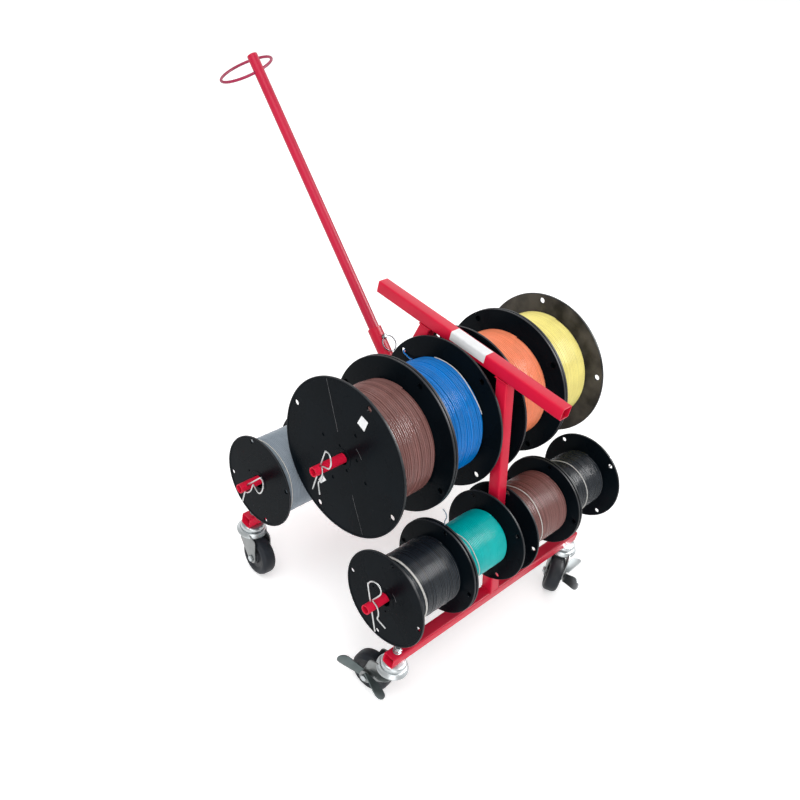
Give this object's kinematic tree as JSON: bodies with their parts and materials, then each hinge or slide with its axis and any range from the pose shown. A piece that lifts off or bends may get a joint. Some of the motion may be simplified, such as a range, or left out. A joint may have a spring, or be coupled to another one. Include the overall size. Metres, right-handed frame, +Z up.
{
  "type": "wire spool cart",
  "caption": "Rolling A-frame cart of square steel tube that dispenses building wire from plastic spools on cross axles, with swivel casters and a pull handle.",
  "frame": {"origin": "on the floor under the centre of the cart's bounding box", "axes": "+X along the axles towards the right seen from the front, +Y towards the pull handle at the rear, +Z up"},
  "size_m": [0.616, 0.9434, 0.7798],
  "materials": {
    "red_paint": "glossy red powder coat",
    "zinc": "bright zinc-plated steel",
    "steel_wire": "bright spring-steel wire",
    "spool_plastic": "black moulded plastic with a low sheen",
    "tyre_rubber": "black hard rubber",
    "wire_brown": "brown plastic wire insulation, smooth",
    "wire_blue": "blue plastic wire insulation, smooth",
    "wire_orange": "orange plastic wire insulation, smooth",
    "wire_yellow": "yellow plastic wire insulation, smooth",
    "wire_black": "black plastic wire insulation, smooth",
    "wire_green": "green plastic wire insulation, smooth",
    "wire_grey": "grey plastic wire insulation, smooth",
    "wire_white": "white plastic wire insulation, smooth",
    "wire_red": "red plastic wire insulation, smooth"
  },
  "bodies": {
    "cart_frame": {"front_rail": "red_paint", "rear_rail": "red_paint", "front_leg": "red_paint", "rear_leg": "red_paint", "top_bar": "red_paint", "axle_crossbar": "red_paint", "top_axle": "red_paint", "front_axle": "red_paint", "rear_axle": "red_paint", "handle_socket": "red_paint", "handle_tube": "red_paint", "handle_ring": "red_paint", "top_clip_left": "steel_wire", "top_clip_right": "steel_wire", "front_clip_left": "steel_wire", "front_clip_right": "steel_wire", "rear_clip_left": "steel_wire", "rear_clip_right": "steel_wire", "caster_stem_front_left": "zinc", "caster_stem_front_right": "zinc", "caster_stem_rear_left": "zinc", "caster_stem_rear_right": "zinc"},
    "spool_brown_large": {"spool_brown_large": "spool_plastic", "wire_brown_large": "wire_brown", "wire_brown_large_turns": "wire_brown"},
    "spool_blue_large": {"spool_blue_large": "spool_plastic", "wire_blue_large": "wire_blue", "wire_blue_large_turns": "wire_blue"},
    "spool_orange_large": {"spool_orange_large": "spool_plastic", "wire_orange_large": "wire_orange"},
    "spool_yellow_large": {"spool_yellow_large": "spool_plastic", "wire_yellow_large": "wire_yellow"},
    "spool_black_front": {"spool_black_front": "spool_plastic", "wire_black_front": "wire_black", "wire_black_front_turns": "wire_black"},
    "spool_green_front": {"spool_green_front": "spool_plastic", "wire_green_front": "wire_green"},
    "spool_brown_front": {"spool_brown_front": "spool_plastic", "wire_brown_front": "wire_brown"},
    "spool_black_front_far": {"spool_black_front_far": "spool_plastic", "wire_black_front_far": "wire_black"},
    "spool_grey_rear": {"spool_grey_rear": "spool_plastic", "wire_grey_rear": "wire_grey"},
    "spool_white_rear": {"spool_white_rear": "spool_plastic", "wire_white_rear": "wire_white"},
    "spool_red_rear": {"spool_red_rear": "spool_plastic", "wire_red_rear": "wire_red"},
    "spool_black_rear_far": {"spool_black_rear_far": "spool_plastic", "wire_black_rear_far": "wire_black"},
    "caster_front_left": {"caster_fork_front_left": "zinc"},
    "wheel_front_left": {"caster_wheel_front_left": "tyre_rubber"},
    "brake_front_left": {"brake_pedal_front_left": "zinc"},
    "caster_front_right": {"caster_fork_front_right": "zinc"},
    "wheel_front_right": {"caster_wheel_front_right": "tyre_rubber"},
    "brake_front_right": {"brake_pedal_front_right": "zinc"},
    "caster_rear_left": {"caster_fork_rear_left": "zinc"},
    "wheel_rear_left": {"caster_wheel_rear_left": "tyre_rubber"},
    "caster_rear_right": {"caster_fork_rear_right": "zinc"},
    "wheel_rear_right": {"caster_wheel_rear_right": "tyre_rubber"},
    "lock_pin": {"lock_pin": "zinc"}
  },
  "joints": [
    {"name": "spin_brown_large", "type": "hinge", "parent": "cart_frame", "child": "spool_brown_large", "pos_m": [-0.19185, -0.2047, 0.3967], "axis": [1, 0, 0], "continuous": true},
    {"name": "spin_blue_large", "type": "hinge", "parent": "cart_frame", "child": "spool_blue_large", "pos_m": [-0.07885, -0.2047, 0.3967], "axis": [1, 0, 0], "continuous": true},
    {"name": "spin_orange_large", "type": "hinge", "parent": "cart_frame", "child": "spool_orange_large", "pos_m": [0.09035, -0.2047, 0.3967], "axis": [1, 0, 0], "continuous": true},
    {"name": "spin_yellow_large", "type": "hinge", "parent": "cart_frame", "child": "spool_yellow_large", "pos_m": [0.20335, -0.2047, 0.3967], "axis": [1, 0, 0], "continuous": true},
    {"name": "spin_black_front", "type": "hinge", "parent": "cart_frame", "child": "spool_black_front", "pos_m": [-0.20575, -0.3609, 0.2346], "axis": [1, 0, 0], "continuous": true},
    {"name": "spin_green_front", "type": "hinge", "parent": "cart_frame", "child": "spool_green_front", "pos_m": [-0.08125, -0.3609, 0.2346], "axis": [1, 0, 0], "continuous": true},
    {"name": "spin_brown_front", "type": "hinge", "parent": "cart_frame", "child": "spool_brown_front", "pos_m": [0.07525, -0.3609, 0.2346], "axis": [1, 0, 0], "continuous": true},
    {"name": "spin_black_front_far", "type": "hinge", "parent": "cart_frame", "child": "spool_black_front_far", "pos_m": [0.19925, -0.3609, 0.2346], "axis": [1, 0, 0], "continuous": true},
    {"name": "spin_grey_rear", "type": "hinge", "parent": "cart_frame", "child": "spool_grey_rear", "pos_m": [-0.20625, -0.0485, 0.2346], "axis": [1, 0, 0], "continuous": true},
    {"name": "spin_white_rear", "type": "hinge", "parent": "cart_frame", "child": "spool_white_rear", "pos_m": [-0.08175, -0.0485, 0.2346], "axis": [1, 0, 0], "continuous": true},
    {"name": "spin_red_rear", "type": "hinge", "parent": "cart_frame", "child": "spool_red_rear", "pos_m": [0.07575, -0.0485, 0.2346], "axis": [1, 0, 0], "continuous": true},
    {"name": "spin_black_rear_far", "type": "hinge", "parent": "cart_frame", "child": "spool_black_rear_far", "pos_m": [0.19975, -0.0485, 0.2346], "axis": [1, 0, 0], "continuous": true},
    {"name": "swivel_front_left", "type": "hinge", "parent": "cart_frame", "child": "caster_front_left", "pos_m": [-0.2365, -0.3925, 0.08], "axis": [0, 0, 1], "continuous": true},
    {"name": "roll_front_left", "type": "hinge", "parent": "caster_front_left", "child": "wheel_front_left", "pos_m": [-0.24102, -0.36032, 0.0365], "axis": [-0.9903, -0.1392, 0], "continuous": true},
    {"name": "brake_front_left", "type": "hinge", "parent": "caster_front_left", "child": "brake_front_left", "pos_m": [-0.24102, -0.36032, 0.0365], "axis": [-0.9903, -0.1392, 0], "range_deg": [0, 24]},
    {"name": "swivel_front_right", "type": "hinge", "parent": "cart_frame", "child": "caster_front_right", "pos_m": [0.2365, -0.3925, 0.08], "axis": [0, 0, 1], "continuous": true},
    {"name": "roll_front_right", "type": "hinge", "parent": "caster_front_right", "child": "wheel_front_right", "pos_m": [0.20835, -0.40875, 0.0365], "axis": [0.5, -0.866, 0], "continuous": true},
    {"name": "brake_front_right", "type": "hinge", "parent": "caster_front_right", "child": "brake_front_right", "pos_m": [0.20835, -0.40875, 0.0365], "axis": [0.5, -0.866, 0], "range_deg": [0, 24]},
    {"name": "swivel_rear_left", "type": "hinge", "parent": "cart_frame", "child": "caster_rear_left", "pos_m": [-0.2365, -0.0169, 0.08], "axis": [0, 0, 1], "continuous": true},
    {"name": "roll_rear_left", "type": "hinge", "parent": "caster_rear_left", "child": "wheel_rear_left", "pos_m": [-0.23877, -0.04932, 0.0365], "axis": [0.9976, -0.0698, 0], "continuous": true},
    {"name": "swivel_rear_right", "type": "hinge", "parent": "cart_frame", "child": "caster_rear_right", "pos_m": [0.2365, -0.0169, 0.08], "axis": [0, 0, 1], "continuous": true},
    {"name": "roll_rear_right", "type": "hinge", "parent": "caster_rear_right", "child": "wheel_rear_right", "pos_m": [0.22538, -0.04744, 0.0365], "axis": [0.9397, -0.342, 0], "continuous": true},
    {"name": "lock_pin_pull", "type": "slide", "parent": "cart_frame", "child": "lock_pin", "axis": [0, -0.6378, 0.7702], "range_m": [0, 0.034]}
  ]
}
